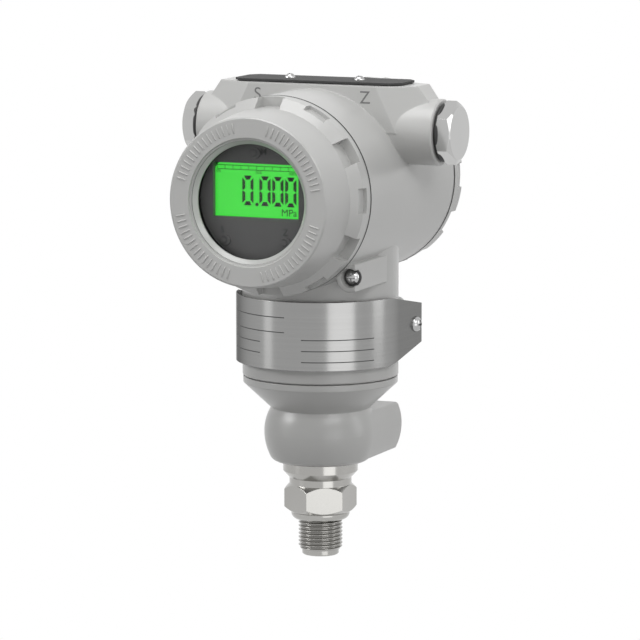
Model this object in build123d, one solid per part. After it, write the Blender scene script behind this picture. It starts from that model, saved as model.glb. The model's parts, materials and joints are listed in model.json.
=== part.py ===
from build123d import *
import os
from math import atan2, cos, pi, radians, sin, sqrt

# Pressure transmitter. Millimetres, +Z up, display towards -Y, conduit entries along X.
# The origin is on the pressure thread's axis, at the shoulder where the thread ends.

# Clearances
running = 0.05
seat_gap = 0.1
body_gap = 0.3

# Process connection, a parallel pipe thread of half an inch
thread_r = 10.4775
thread_length = 14.5
thread_chamfer = 1.0
nose_r = 8.75
nose_length = 2.6
nose_chamfer = 0.5
port_r = 1.75
port_mouth_r = 3.2
collar_r = 13.9
collar_length = 3.4
collar_round = 2.6
hex_flats = 30.0
hex_turn = 30.0
hex_length = 13.6
hex_chamfer_length = 2.6
shank_r = 14.8
shank_length = 3.1
flange_cone_length = 3.3
flange_r = 17.8
flange_length = 4.6
spigot_r = 14.0
spigot_length = 8.0
oil_cup_r = 10.0
oil_cup_depth = 1.5

# Sensor casting
ball_r = 26.7
ball_mid_above_base = 14.3
ball_low_r = 23.6
ball_low_above_base = 1.9
ball_foot_r = 19.8
ball_top_r = 23.4
ball_top_above_base = 25.8
pad_back_y = 37.0
pad_chamfer = 0.4
pad_low_above_base = 1.8
pad_top_above_base = 24.0
pad_edge_round = 2.0
bracket_hole_r = 3.4
bracket_hole_depth = 12.0
bracket_hole_spacing = 30.0
cone_length = 11.8
stub_r = 31.0
stub_length = 22.0
stub_wall = 5.0
stub_bore_r = stub_r - stub_wall
swivel_shoulder = 4.0
swivel_step_r = stub_r + swivel_shoulder
swivel_groove = 0.5
swivel_groove_depth = 1.6
base_r = swivel_step_r + swivel_groove_depth
base_length = 3.6
base_chamfer = 0.6
well_r = 18.0
neck_seal_wire = 1.25
neck_seal_above_base = 5.0
lock_groove_depth = 2.0
lock_groove_width = 5.0
diaphragm_r = 12.5
diaphragm_thickness = 0.3
capsule_r = 13.8
capsule_length = 13.6
sensor_board_r = 17.0
board_thickness = 1.6
header_size = (14.0, 7.0, 8.0)
potting_thickness = 3.0

# Housing casting
neck_overhang = 0.3
neck_r = base_r + neck_overhang
cover_thread_r = 41.0
drum_rim = 5.0
drum_r = cover_thread_r + drum_rim
drum_above_neck = 43.9
head_above_neck = drum_r + drum_above_neck
front_seam = 49.05
rear_seam = 55.5
seam_gap = 0.4
thread_depth = 1.5
cavity_r = cover_thread_r - thread_depth
mouth_chamfer = 0.4
partition_front = 12.0
partition_back = 4.0
passage_r = 8.0
passage_forward = 22.0
feed_hole_r = 7.0
feed_hole_below_axis = 20.0
feed_flange_r = 10.0
feed_flange_thickness = 2.0
feed_pin_r = 0.7
feed_pin_spacing = 5.0
feed_pin_reach = 5.0
post_r = 4.0
post_radius = 25.0
post_length = 10.0
post_hole_r = 1.4

# Conduit entries
conduit_back = 5.0
boss_r = 15.6
boss_reach = 60.0
boss_chamfer = 0.7
conduit_r = 9.95
plug_thread_length = 14.0
plug_flats = 26.0
plug_head_length = 5.8
plug_head_face_r = 12.7
plug_shank_r = 11.6
plug_shank_length = 2.4
plug_seal_wire = 1.1

# Hip block over the conduit entries
block_rise = 2.1
block_top_above_axis = drum_r + block_rise
conduit_below_roof = 21.7
conduit_above_axis = block_top_above_axis - conduit_below_roof
boss_proud = 3.0
block_cut_x = boss_reach - boss_proud
block_end_run = 7.0
block_end_x = block_cut_x - block_end_run
block_end_slope = 0.76
block_end_half_width = 7.5
block_corner_run = 18.0
block_mid_x = block_end_x - block_corner_run
block_mid_slope = 0.49
block_mid_half_width = 15.8
plate_end_margin = 7.7
plate_half_length = block_end_x - plate_end_margin
plate_corner_run = 3.8
plate_mid_x = plate_half_length - plate_corner_run
plate_end_half_width = 8.0
plate_half_width = 12.5
plate_thickness = 1.0
plate_gasket_thickness = 0.4
plate_gasket_inset = 1.0
plate_screw_hole_r = 1.3
plate_screw_depth = 6.0
button_margin = 11.7
button_x = plate_mid_x - button_margin
plate_screw_inset = 9.1
plate_screw_x = button_x - plate_screw_inset
button_r = 4.2
button_sunk = 0.3
button_length = 6.0
button_travel = 2.0

# Threaded covers
cover_thread_length = 12.0
cover_wall = 4.5
cover_bore_r = cover_thread_r - cover_wall
cover_overhang = 0.03
cover_flange_r = drum_r + cover_overhang
cover_flange_length = 4.4
lug_length = 4.1
rear_lug_length = 5.6
lug_chamfer_length = 4.7
lug_depth = 4.73
lug_root_r = cover_flange_r - lug_depth
notch_width = 12.2
notch_count = 6
notch_start_angle = 30.0
pocket_width = 11.5
pocket_depth = 1.73
pocket_floor_r = cover_flange_r - pocket_depth
cover_seal_wire = 1.15
cover_seal_r = cover_thread_r + running + cover_seal_wire + seat_gap
cover_seal_seat_r = cover_seal_r + cover_seal_wire + seat_gap
ring_cone_run = 2.3
ring_face_r = lug_root_r - ring_cone_run
ring_face = 84.5
ring_edge = 0.7
window_wall = 5.7
window_r = cover_bore_r - window_wall
window_seat_width = 4.3
window_lip_r = window_r - window_seat_width
window_slope_run = 1.9
window_step_r = window_lip_r + window_slope_run
window_step_width = 1.2
window_mouth_r = window_step_r + window_step_width
window_mouth_depth = 1.5
window_step_depth = 2.0
window_lip_start = 4.0
window_lip_back = 4.8
window_gasket_thickness = 0.5
window_thickness = 3.5
glass_ring_overlap = 2.6
glass_ring_inner_r = window_r - glass_ring_overlap
glass_ring_width = 4.8
glass_ring_outer_r = glass_ring_inner_r + glass_ring_width
glass_ring_thickness = 3.0
rear_end = 72.3
rear_end_chamfer = 2.0
rear_rim_width = 9.3
rear_dish_r = lug_root_r - rear_end_chamfer - rear_rim_width
rear_dish_depth = 0.8

# Display module
display_nose_gap = 0.6
display_nose_r = glass_ring_inner_r - display_nose_gap
display_nose_length = 3.2
display_case_gap = 3.0
display_case_r = cover_bore_r - display_case_gap
display_wall = 2.0
display_plate = 2.4
display_case_length = 17.0
lcd_side_margin = 6.4
lcd_half_width = display_nose_r - lcd_side_margin
lcd_end_margin = 15.2
lcd_height = 2 * (display_nose_r - lcd_end_margin)
lcd_above_axis = 4.6
lcd_margin = 2.5
lcd_thickness = 3.0
key_r = 2.4
key_proud = 0.4
key_clearance = 0.08
key_travel = 0.5
mode_key_margin = 5.7
lower_key_margin = 3.7
lower_key_angle = 51.1
module_gap = 5.5
module_r = cavity_r - module_gap
module_boss_hole_r = 1.8
rear_case_thickness = 2.0

# Terminal compartment
terminal_r = module_r
terminal_base_thickness = 8.0
terminal_bar_size = (46.0, 18.0, 12.0)
terminal_pitch = 14.0
terminal_slot_width = 9.0
terminal_slot_depth = 7.0
terminal_clamp_size = (8.0, 8.0, 1.2)
terminal_bar_drop = -5.0
terminal_wire_hole_r = 6.5
small_screw_r = 1.5
small_head_r = 2.9
small_head_height = 2.0
terminal_screw_length = 4.5
inner_ground_margin = 4.1
inner_ground_angle = 47.3
inner_ground_x = (cavity_r - inner_ground_margin) * cos(radians(inner_ground_angle))
inner_ground_drop = (cavity_r - inner_ground_margin) * sin(radians(inner_ground_angle))
inner_ground_boss_r = 5.0
inner_ground_boss_height = 6.0

# Name band round the neck
band_standoff = 3.0
band_r = neck_r + band_standoff
band_thickness = 0.5
band_above_neck = 6.9
band_height = 32.0
band_leg_end = 29.0
band_taper_start = -8.0
band_end_height = 18.6
band_screw_back = 21.5
band_boss_r = 6.5
band_boss_length = 17.4
band_rib_width = 3.0
band_rib_inset = 4.0
band_screw_hole_r = 2.1
band_screw_r = 2.0
band_head_r = 3.8
band_head_height = 2.6
band_screw_length = 7.0

# Ground terminal below the front cover
ground_flat_inset = 0.5
ground_flat_x = neck_r - ground_flat_inset
ground_side_wall = 2.7
ground_x = ground_flat_x - ground_side_wall
ground_above_neck = 52.5
ground_boss_r = 6.8
ground_boss_chamfer = 0.5
ground_arm_half_height = 6.1
ground_front_above_neck = 8.1
ground_front = neck_r + ground_front_above_neck
ground_recess_r = 4.35
ground_recess_depth = 4.8
ground_screw_r = 2.0
ground_head_r = 3.4
ground_head_height = 2.4
ground_washer_thickness = 0.8
ground_thread_length = 8.0

# Lock screw at the back of the neck
lock_screw_r = 3.0
lock_tip_r = 1.8
lock_above_base = 17.6
lock_head_sunk = 0.6

# Levels along the pressure axis
hex_base = collar_length
shank_base = hex_base + hex_length
flange_cone_base = shank_base + shank_length
flange_base = flange_cone_base + flange_cone_length
ball_base = flange_base + flange_length
ball_mid = ball_base + ball_mid_above_base
ball_top = ball_base + ball_top_above_base
base_bottom = ball_top + cone_length
base_top = base_bottom + base_length
neck_bottom = base_top + swivel_groove
stub_top = base_top + stub_length
head_z = neck_bottom + head_above_neck
conduit_z = head_z + conduit_above_axis
block_top = head_z + block_top_above_axis
plate_bottom = block_top + plate_gasket_thickness
plate_top = plate_bottom + plate_thickness
button_bore_depth = button_sunk + button_length + button_travel + body_gap
band_low = neck_bottom + band_above_neck
band_mid = band_low + band_height / 2
ground_z = neck_bottom + ground_above_neck
spigot_top = ball_base + spigot_length
capsule_base = spigot_top + diaphragm_thickness
capsule_top = capsule_base + capsule_length
lock_z = base_top + lock_above_base

# Distances forward of the pressure axis, along the head
front_mouth = front_seam - seam_gap / 2
front_cover_back = front_seam + seam_gap / 2
rear_mouth = rear_seam - seam_gap / 2
rear_cover_back = rear_seam + seam_gap / 2
lip_back = ring_face - window_lip_back
window_front = lip_back - window_gasket_thickness
window_back = window_front - window_thickness
display_face = window_back - body_gap - key_proud
display_shoulder = display_face - display_nose_length
display_back = display_shoulder - display_case_length
key_length = key_proud + display_plate + lcd_thickness - key_travel - body_gap
module_front = display_back - rear_case_thickness
module_back = partition_front + post_length

# Places of the head's own directions: front, rear, right and left
front = Location((0, 0, head_z), (90, 0, 0))
rear = Location((0, 0, head_z), (-90, 0, 0))
right = Location((0, conduit_back, conduit_z), (0, 90, 0))
left = Location((0, conduit_back, conduit_z), (0, -90, 0))


def turned(*points):
    """Solid of revolution about Z from (radius, height) corners."""
    corners = [(radius, 0, height) for radius, height in points]
    return revolve(make_face(Polyline(*corners, close=True)), Axis.Z)


def rod(radius, low, high, x=0, y=0):
    """Round bar along Z between two heights."""
    return Pos(x, y, (low + high) / 2) * Cylinder(radius, high - low)


def tube(outer, inner, low, high):
    """Ring along Z between two heights."""
    return turned((inner, low), (outer, low), (outer, high), (inner, high))


def o_ring(ring_r, wire_r, height):
    return Pos(0, 0, height) * Torus(ring_r, wire_r)


def swell(r_mid, z_mid, r_end, z_end):
    """Point halfway along the arc that leaves (r_mid, z_mid) upright and reaches the end."""
    dr = r_mid - r_end
    dz = z_end - z_mid
    arc_r = (dr * dr + dz * dz) / (2 * dr)
    half = atan2(dz, arc_r - dr) / 2
    return r_mid - arc_r * (1 - cos(half)), z_mid + arc_r * sin(half)


def hexagon_bar(flats, low, high, turn=0):
    corner_r = flats / sqrt(3)
    outline = Rot(0, 0, turn) * RegularPolygon(corner_r, 6)
    return Pos(0, 0, low) * extrude(outline, high - low)


def pan_screw(shank_r, shank_length, head_r, head_height):
    """Cross-head screw: head above z 0, shank below."""
    head_arc = head_r - head_height / 2
    profile = Polyline((0, 0, -shank_length), (shank_r, 0, -shank_length), (shank_r, 0, 0), (head_r, 0, 0))
    crown = ThreePointArc((head_r, 0, 0), (head_arc, 0, head_height * 0.8), (0, 0, head_height))
    body = revolve(make_face(profile + crown + Line((0, 0, head_height), (0, 0, -shank_length))), Axis.Z)
    slot_width = head_r * 0.26
    slot_depth = head_height * 0.6
    slot = Pos(0, 0, head_height) * Box(head_r * 1.15, slot_width, slot_depth * 2)
    return body - slot - Rot(0, 0, 90) * slot


def process_fitting():
    """Threaded nose, sealing collar, hexagon, cone and flange, turned from one bar."""
    corner_r = hex_flats / sqrt(3)
    nose_end = -thread_length - nose_length
    lower = make_face(
        Polyline(
            (port_r, 0, nose_end + port_mouth_r - port_r),
            (port_mouth_r, 0, nose_end),
            (nose_r - nose_chamfer, 0, nose_end),
            (nose_r, 0, nose_end + nose_chamfer),
            (nose_r, 0, -thread_length),
            (thread_r - thread_chamfer, 0, -thread_length),
            (thread_r, 0, -thread_length + thread_chamfer),
            (thread_r, 0, 0),
        )
        + ThreePointArc(
            (thread_r, 0, 0),
            (thread_r + (collar_r - thread_r) * 0.72, 0, collar_round * 0.3),
            (collar_r, 0, collar_round),
        )
        + Polyline(
            (collar_r, 0, collar_round),
            (collar_r, 0, hex_base),
            (shank_r, 0, shank_base),
            (shank_r, 0, flange_cone_base),
            (flange_r, 0, flange_base),
            (flange_r, 0, ball_base),
            (spigot_r, 0, ball_base),
            (spigot_r, 0, spigot_top),
            (oil_cup_r, 0, spigot_top),
            (oil_cup_r, 0, spigot_top - oil_cup_depth),
            (port_r, 0, spigot_top - oil_cup_depth),
            (port_r, 0, nose_end + port_mouth_r - port_r),
        )
    )
    barrel = turned(
        (port_r, hex_base),
        (collar_r, hex_base),
        (corner_r, hex_base + hex_chamfer_length),
        (corner_r, shank_base - hex_chamfer_length),
        (shank_r, shank_base),
        (port_r, shank_base),
    )
    nut = hexagon_bar(hex_flats, hex_base, shank_base, hex_turn) & barrel
    return revolve(lower, Axis.Z) + nut


def ball_outline(mirrored=False):
    """Outline of the sensor casting's swollen part: a half for turning, or both sides."""
    low = (ball_low_r, ball_base + ball_low_above_base)
    mid = (ball_r, ball_mid)
    top = (ball_top_r, ball_top)
    foot = (ball_foot_r, ball_base)
    low_bulge = swell(*mid, *low)
    top_bulge = swell(*mid, *top)
    run = ball_low_r - ball_foot_r
    foot_arc_r = (run * run + ball_low_above_base ** 2) / (2 * ball_low_above_base)
    half = atan2(run, foot_arc_r - ball_low_above_base) / 2
    foot_bulge = (ball_foot_r + foot_arc_r * sin(half), ball_base + foot_arc_r * (1 - cos(half)))

    def side_curves(side):
        points = [(side * r, 0, z) for r, z in (foot, foot_bulge, low, low_bulge, mid, top_bulge, top)]
        return [ThreePointArc(*points[0:3]), ThreePointArc(*points[2:5]), ThreePointArc(*points[4:7])]

    if mirrored:
        base = Line((-foot[0], 0, foot[1]), (foot[0], 0, foot[1]))
        lid = Line((top[0], 0, top[1]), (-top[0], 0, top[1]))
        return make_face([base, *side_curves(1), lid, *side_curves(-1)])
    closing = Polyline((top[0], 0, top[1]), (0, 0, top[1]), (0, 0, foot[1]), (foot[0], 0, foot[1]))
    return make_face([*side_curves(1), *closing.edges()])


def sensor_body():
    """Swollen casting with its bracket pad, cone, base ring and swivel stub."""
    swollen = revolve(ball_outline(), Axis.Z)
    pad_height = pad_top_above_base - pad_low_above_base
    pad_middle = ball_base + (pad_top_above_base + pad_low_above_base) / 2
    pad_window = Pos(0, 0, pad_middle) * Rot(90, 0, 0) * Rectangle(4 * ball_r, pad_height)
    pad_section = ball_outline(mirrored=True) & pad_window
    top_corners = pad_section.vertices().sort_by(Axis.Z)[-2:]
    pad_section = fillet(top_corners, pad_edge_round)
    pad = extrude(pad_section, pad_back_y - pad_chamfer, dir=(0, 1, 0))
    pad += extrude(Pos(0, pad_back_y - pad_chamfer, 0) * pad_section, pad_chamfer, dir=(0, 1, 0), taper=45)
    upper = turned(
        (0, ball_top - 1),
        (ball_top_r - 1, ball_top - 1),
        (ball_top_r, ball_top),
        (base_r - base_chamfer, base_bottom),
        (base_r, base_bottom + base_chamfer),
        (base_r, base_top),
        (swivel_step_r, base_top),
        (swivel_step_r, neck_bottom - running),
        (stub_r, neck_bottom - running),
        (stub_r, stub_top),
        (0, stub_top),
    )
    body = swollen + pad + upper
    body -= rod(spigot_r + running, ball_base - 1, capsule_top)
    body -= rod(well_r, capsule_top, base_bottom)
    body -= rod(stub_bore_r, base_bottom - running, stub_top + 1)
    seal_z = base_top + neck_seal_above_base
    body -= tube(stub_r + 1, stub_r - 2 * neck_seal_wire, seal_z - 1.3 * neck_seal_wire,
                 seal_z + 1.3 * neck_seal_wire)
    body -= tube(stub_r + 1, stub_r - lock_groove_depth, lock_z - lock_groove_width / 2,
                 lock_z + lock_groove_width / 2)
    for side in (-1, 1):
        hole = Pos(side * bracket_hole_spacing / 2, pad_back_y - bracket_hole_depth / 2, ball_mid)
        body -= hole * Rot(90, 0, 0) * Cylinder(bracket_hole_r, bracket_hole_depth)
    return body


def potting_disc():
    return rod(stub_bore_r - running, stub_top - potting_thickness, stub_top)


def sensor_board():
    return rod(sensor_board_r, capsule_top, capsule_top + board_thickness)


def sensor_header():
    width, depth, height = header_size
    return Pos(0, 0, capsule_top + board_thickness + height / 2) * Box(width, depth, height)


def hip_block():
    """Roof over the conduit entries: eight sloping faces that stay flat."""
    drop = block_top - conduit_z
    low_end = block_end_x + block_end_slope * drop
    low_mid = block_mid_x + block_mid_slope * drop
    corner = (block_mid_half_width - block_end_half_width) / (block_end_x - block_mid_x)
    low_end_half = block_mid_half_width - corner * (low_end - low_mid)

    def octagon(end_x, end_half, mid_x, height):
        quarter = [(end_x, end_half), (mid_x, block_mid_half_width)]
        points = quarter + [(-x, y) for x, y in reversed(quarter)]
        points += [(-x, -y) for x, y in quarter] + [(x, -y) for x, y in reversed(quarter)]
        return Pos(0, conduit_back, height) * make_face(Polyline(*points, close=True))

    lower = octagon(low_end, low_end_half, low_mid, conduit_z)
    upper = octagon(block_end_x, block_end_half_width, block_mid_x, block_top)
    solid = loft([lower, upper], ruled=True)
    return solid & Pos(0, 0, head_z) * Box(2 * block_cut_x, 4 * boss_r, 4 * drum_r)


def ground_boss():
    """Round-nosed boss with a flat-sided arm that runs back into the neck."""
    back = -ground_front
    nose = turned((0, back), (ground_boss_r, back), (ground_boss_r, -ground_boss_chamfer),
                  (ground_boss_r - ground_boss_chamfer, 0), (0, 0))
    reach = ground_flat_x - ground_x
    arm = Pos(reach / 2, 0, back / 2) * Box(reach, 2 * ground_arm_half_height, ground_front)
    side = 4 * ground_boss_r
    half = Pos(reach - side / 2, 0, back / 2) * Box(side, side, 2 * ground_front)
    place = Location((ground_x, -ground_front, ground_z), (90, 0, 0))
    return place * (nose & half) + place * arm


def conduit_trunk():
    reach = boss_reach
    edge = boss_chamfer
    profile = turned((0, -reach), (boss_r - edge, -reach), (boss_r, edge - reach),
                     (boss_r, reach - edge), (boss_r - edge, reach), (0, reach))
    return right * profile


def band_seats():
    """Two ribs round the neck and two side bosses that the name band is screwed to."""
    inner = band_r - band_thickness
    root = inner - band_boss_length
    ribs = []
    for low in (band_low + band_rib_inset, band_low + band_height - band_rib_inset - band_rib_width):
        ribs.append(tube(inner, neck_r - 2, low, low + band_rib_width))
    bosses = []
    for side in (-1, 1):
        middle = side * (root + inner) / 2
        place = Location((middle, band_screw_back, band_mid), (0, 90, 0))
        bosses.append(place * Cylinder(band_boss_r, band_boss_length))
    return ribs, bosses


def cover_mouth(place, mouth):
    """Threaded mouth of a compartment, with the seat of its seal."""
    thread = cover_thread_r + running
    seat_depth = 2 * cover_seal_wire
    cut = rod(thread, mouth - cover_thread_length - 2, mouth + 1)
    cut += rod(cover_seal_seat_r, mouth - seat_depth, mouth + 1)
    return place * cut


def housing():
    """One casting: neck, drum, conduit entries, roof, ground boss and partition."""
    ribs, bosses = band_seats()
    neck = turned((0, neck_bottom), (neck_r - mouth_chamfer, neck_bottom),
                  (neck_r, neck_bottom + mouth_chamfer), (neck_r, head_z), (0, head_z))
    body = neck + front * rod(drum_r, -rear_mouth, front_mouth)
    body += conduit_trunk()
    body += hip_block()
    body += ground_boss()
    for piece in ribs + bosses:
        body += piece
    body -= front * rod(cavity_r, partition_front, front_mouth + 1)
    body -= rear * rod(cavity_r, -partition_back, rear_mouth + 1)
    body -= cover_mouth(front, front_mouth)
    body -= cover_mouth(rear, rear_mouth)
    for place in (right, left):
        body -= place * rod(conduit_r, cavity_r / 2, boss_reach + 1)
    body -= rod(stub_r + running, neck_bottom - 1, stub_top + body_gap)
    body -= rod(passage_r, stub_top, head_z - cavity_r / 2, 0, -passage_forward)
    body -= front * Pos(0, -feed_hole_below_axis) * rod(feed_hole_r, partition_back - 1, partition_front + 1)
    for angle in (90, 210, 330):
        x = post_radius * cos(radians(angle))
        z = post_radius * sin(radians(angle))
        body += front * rod(post_r, partition_front - 1, module_back, x, z)
        body -= front * rod(post_hole_r, partition_front + 2, module_back + 1, x, z)
    body += rear * rod(inner_ground_boss_r, -partition_back - 1, -partition_back + inner_ground_boss_height,
                       inner_ground_x, inner_ground_drop)
    body -= rear * rod(small_screw_r + running, -partition_back - 1,
                       -partition_back + inner_ground_boss_height + 1, inner_ground_x, inner_ground_drop)
    for side in (-1, 1):
        body -= rod(button_r, block_top - button_bore_depth, block_top + 1, side * button_x, conduit_back)
        body -= rod(plate_screw_hole_r, block_top - plate_screw_depth, block_top + 1,
                    side * plate_screw_x, conduit_back)
        screw = Location((0, band_screw_back, band_mid), (0, side * 90, 0))
        inner = band_r - band_thickness
        body -= screw * rod(band_screw_hole_r, inner - band_screw_length - 1, inner + 1)
    body -= ground_cut()
    lock = Location((0, 0, lock_z), (-90, 0, 0))
    body -= lock * rod(lock_screw_r + running, stub_r - 1, neck_r + 1)
    return body


def ground_cut():
    """Recess for the ground screw, wide enough to break out at the arm's side, and the hole."""
    place = Location((ground_x, 0, ground_z), (90, 0, 0))
    recess_floor = ground_front - ground_recess_depth
    cut = rod(ground_recess_r, recess_floor, ground_front + 1)
    cut += rod(ground_screw_r + running, recess_floor - ground_thread_length - 1, recess_floor + 1)
    return place * cut


def feedthrough():
    """Potted bush that carries the wires through the partition."""
    flange_front = partition_front + feed_flange_thickness
    bush = rod(feed_hole_r - running, partition_back, partition_front)
    bush += rod(feed_flange_r, partition_front, flange_front)
    for side in (-1, 1):
        bush += rod(feed_pin_r, partition_back - feed_pin_reach, flange_front + feed_pin_reach,
                    side * feed_pin_spacing / 2)
    return front * Pos(0, -feed_hole_below_axis) * bush


def castellated(cover, wall, slope_end):
    """Cuts the wrench notches and the shallow pockets into a cover's lug ring."""
    reach = cover_flange_r / 2
    length = 2 * (slope_end - wall)
    for number in range(notch_count):
        angle = notch_start_angle + number * 360 / notch_count
        notch = tube(cover_flange_r + 2, lug_root_r, wall, slope_end)
        notch &= Rot(0, 0, angle) * Pos(cover_flange_r, 0, slope_end) * Box(reach, notch_width, length)
        pocket = tube(cover_flange_r + 2, pocket_floor_r, wall, slope_end)
        halfway = Rot(0, 0, angle - 180 / notch_count)
        pocket &= halfway * Pos(cover_flange_r, 0, slope_end) * Box(reach, pocket_width, length)
        cover = cover - notch - pocket
    return cover


def front_cover():
    """Window cover: thread, seal flange, lugs, cone and stepped window mouth."""
    wall = front_cover_back + cover_flange_length
    slope_top = wall + lug_length
    slope_end = slope_top + lug_chamfer_length
    seat_r = window_r + 0.2
    ring_thread_r = glass_ring_outer_r + running
    ring_back = window_back - glass_ring_thickness
    profile = turned(
        (cover_bore_r, front_cover_back - cover_thread_length),
        (cover_thread_r - 0.6, front_cover_back - cover_thread_length),
        (cover_thread_r, front_cover_back - cover_thread_length + 0.6),
        (cover_thread_r, front_cover_back),
        (cover_flange_r, front_cover_back),
        (cover_flange_r, slope_top),
        (lug_root_r, slope_end),
        (ring_face_r, ring_face - ring_edge),
        (ring_face_r - ring_edge, ring_face),
        (window_mouth_r, ring_face),
        (window_mouth_r - 0.3, ring_face - window_mouth_depth),
        (window_step_r, ring_face - window_mouth_depth),
        (window_step_r, ring_face - window_step_depth),
        (window_lip_r, ring_face - window_lip_start),
        (window_lip_r, lip_back),
        (seat_r, lip_back),
        (seat_r, window_back),
        (ring_thread_r, window_back),
        (ring_thread_r, ring_back),
        (cover_bore_r - 1, ring_back),
        (cover_bore_r, ring_back - 1),
    )
    return front * castellated(profile, wall, slope_end)


def rear_cover():
    """Blind cover of the terminal compartment, with the same thread and lugs."""
    wall = rear_cover_back + cover_flange_length
    slope_top = wall + rear_lug_length
    slope_end = slope_top + lug_chamfer_length
    inside = rear_end - 4
    profile = turned(
        (0, inside),
        (cover_bore_r - 3, inside),
        (cover_bore_r, inside - 3),
        (cover_bore_r, rear_cover_back - cover_thread_length),
        (cover_thread_r - 0.6, rear_cover_back - cover_thread_length),
        (cover_thread_r, rear_cover_back - cover_thread_length + 0.6),
        (cover_thread_r, rear_cover_back),
        (cover_flange_r, rear_cover_back),
        (cover_flange_r, slope_top),
        (lug_root_r, slope_end),
        (lug_root_r, rear_end - rear_end_chamfer),
        (lug_root_r - rear_end_chamfer, rear_end),
        (rear_dish_r, rear_end),
        (rear_dish_r - rear_dish_depth, rear_end - rear_dish_depth),
        (0, rear_end - rear_dish_depth),
    )
    return rear * castellated(profile, wall, slope_end)


def window_gasket():
    return front * tube(window_r, window_lip_r + 0.5, window_front, lip_back)


def window_glass():
    return front * rod(window_r, window_back, window_front)


def glass_ring():
    """Threaded ring that holds the window, with two wrench slots."""
    low = window_back - glass_ring_thickness
    ring = tube(glass_ring_outer_r, glass_ring_inner_r, low, window_back)
    for side in (-1, 1):
        ring -= Pos(side * (glass_ring_inner_r + glass_ring_outer_r) / 2, 0, low) * Box(2.5, 3, 2.4)
    return front * ring


def key_places():
    lower_r = display_nose_r - lower_key_margin
    x = lower_r * cos(radians(lower_key_angle))
    z = lower_r * sin(radians(lower_key_angle))
    return {"mode_key": (0, display_nose_r - mode_key_margin), "span_key": (-x, -z), "zero_key": (x, -z)}


def display_bezel():
    """Front shell of the display: stepped disc, skirt, screen opening and key holes."""
    skirt = turned(
        (0, display_face - display_plate),
        (0, display_face),
        (display_nose_r, display_face),
        (display_nose_r, display_shoulder),
        (display_case_r, display_shoulder),
        (display_case_r, display_back),
        (display_case_r - display_wall, display_back),
        (display_case_r - display_wall, display_face - display_plate - display_wall),
        (display_nose_r - display_wall, display_face - display_plate),
    )
    window = Pos(0, lcd_above_axis, display_face) * Box(2 * lcd_half_width, lcd_height, 4 * display_plate)
    skirt -= window
    for x, z in key_places().values():
        skirt -= rod(key_r + key_clearance, display_face - 2 * display_plate, display_face + 1, x, z)
    return front * skirt


def lcd_panel():
    back = display_face - display_plate - lcd_thickness
    width = 2 * lcd_half_width + lcd_margin
    height = lcd_height + lcd_margin
    panel = Pos(0, lcd_above_axis, back + lcd_thickness / 2) * Box(width, height, lcd_thickness)
    return front * (panel & rod(display_nose_r - display_wall, back - 1, display_face))


def display_board():
    front_side = display_face - display_plate - lcd_thickness
    return front * rod(display_case_r - display_wall - running, front_side - board_thickness, front_side)


def display_key(name):
    x, z = key_places()[name]
    top = display_face + key_proud
    return front * rod(key_r, top - key_length, top, x, z)


def display_rear_case():
    """Dished back of the display module, standing on the electronics module."""
    board_back = display_face - display_plate - lcd_thickness - board_thickness
    inner = display_case_r - display_wall - running
    shell = rod(display_case_r, module_front, display_back)
    shell += tube(inner, inner - display_wall, display_back, board_back)
    return front * shell


def electronics_module():
    """Potted electronics can on the partition's three posts."""
    can = rod(module_r, module_back, module_front)
    for angle in (90, 210, 330):
        x = post_radius * cos(radians(angle))
        z = post_radius * sin(radians(angle))
        can -= rod(module_boss_hole_r, module_back - 1, module_front + 1, x, z)
        can -= rod(small_head_r + 0.3, module_back + 3, module_front + 1, x, z)
    return front * can


def module_screws():
    screws = []
    for angle in (90, 210, 330):
        x = post_radius * cos(radians(angle))
        z = post_radius * sin(radians(angle))
        screw = pan_screw(post_hole_r - running, 3 + post_length - 3, small_head_r, small_head_height)
        screws.append(front * Pos(x, z, module_back + 3) * screw)
    return Compound(children=screws)


def terminal_block():
    """Moulded terminal base with a three-way bar of open-topped clamp slots."""
    width, height, depth = terminal_bar_size
    floor = -partition_back
    base = rod(terminal_r, floor, floor + terminal_base_thickness)
    ground_hole = rod(inner_ground_boss_r + 2, floor - 1, floor + terminal_base_thickness + 1,
                      inner_ground_x, inner_ground_drop)
    bar_top = floor + terminal_base_thickness + depth
    bar = Pos(0, terminal_bar_drop, bar_top - depth / 2) * Box(width, height, depth)
    wire_hole = rod(terminal_wire_hole_r, floor - 1, floor + terminal_base_thickness + 1,
                    0, feed_hole_below_axis)
    block = base + bar - ground_hole - wire_hole
    for number in (-1, 0, 1):
        slot = Pos(number * terminal_pitch, terminal_bar_drop, bar_top)
        block -= slot * Box(terminal_slot_width, height + 2, 2 * terminal_slot_depth)
        block -= rod(small_screw_r + running, bar_top - depth, bar_top,
                     number * terminal_pitch, terminal_bar_drop)
    return rear * block


def terminal_floor():
    depth = terminal_bar_size[2]
    return -partition_back + terminal_base_thickness + depth - terminal_slot_depth


def terminal_clamps():
    width, height, thickness = terminal_clamp_size
    clamps = []
    for number in (-1, 0, 1):
        place = Pos(number * terminal_pitch, terminal_bar_drop, terminal_floor() + thickness / 2)
        plate = place * Box(width, height, thickness)
        plate -= rod(small_screw_r + running, terminal_floor() - 1, terminal_floor() + 3,
                     number * terminal_pitch, terminal_bar_drop)
        clamps.append(rear * plate)
    return Compound(children=clamps)


def terminal_screws():
    top = terminal_floor() + terminal_clamp_size[2]
    screws = []
    for number in (-1, 0, 1):
        screw = pan_screw(small_screw_r, terminal_screw_length, small_head_r, small_head_height)
        screws.append(rear * Pos(number * terminal_pitch, terminal_bar_drop, top) * screw)
    return Compound(children=screws)


def inner_ground_screw():
    top = -partition_back + inner_ground_boss_height
    screw = pan_screw(small_screw_r, terminal_screw_length, small_head_r, small_head_height)
    return rear * Pos(inner_ground_x, inner_ground_drop, top) * screw


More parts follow.
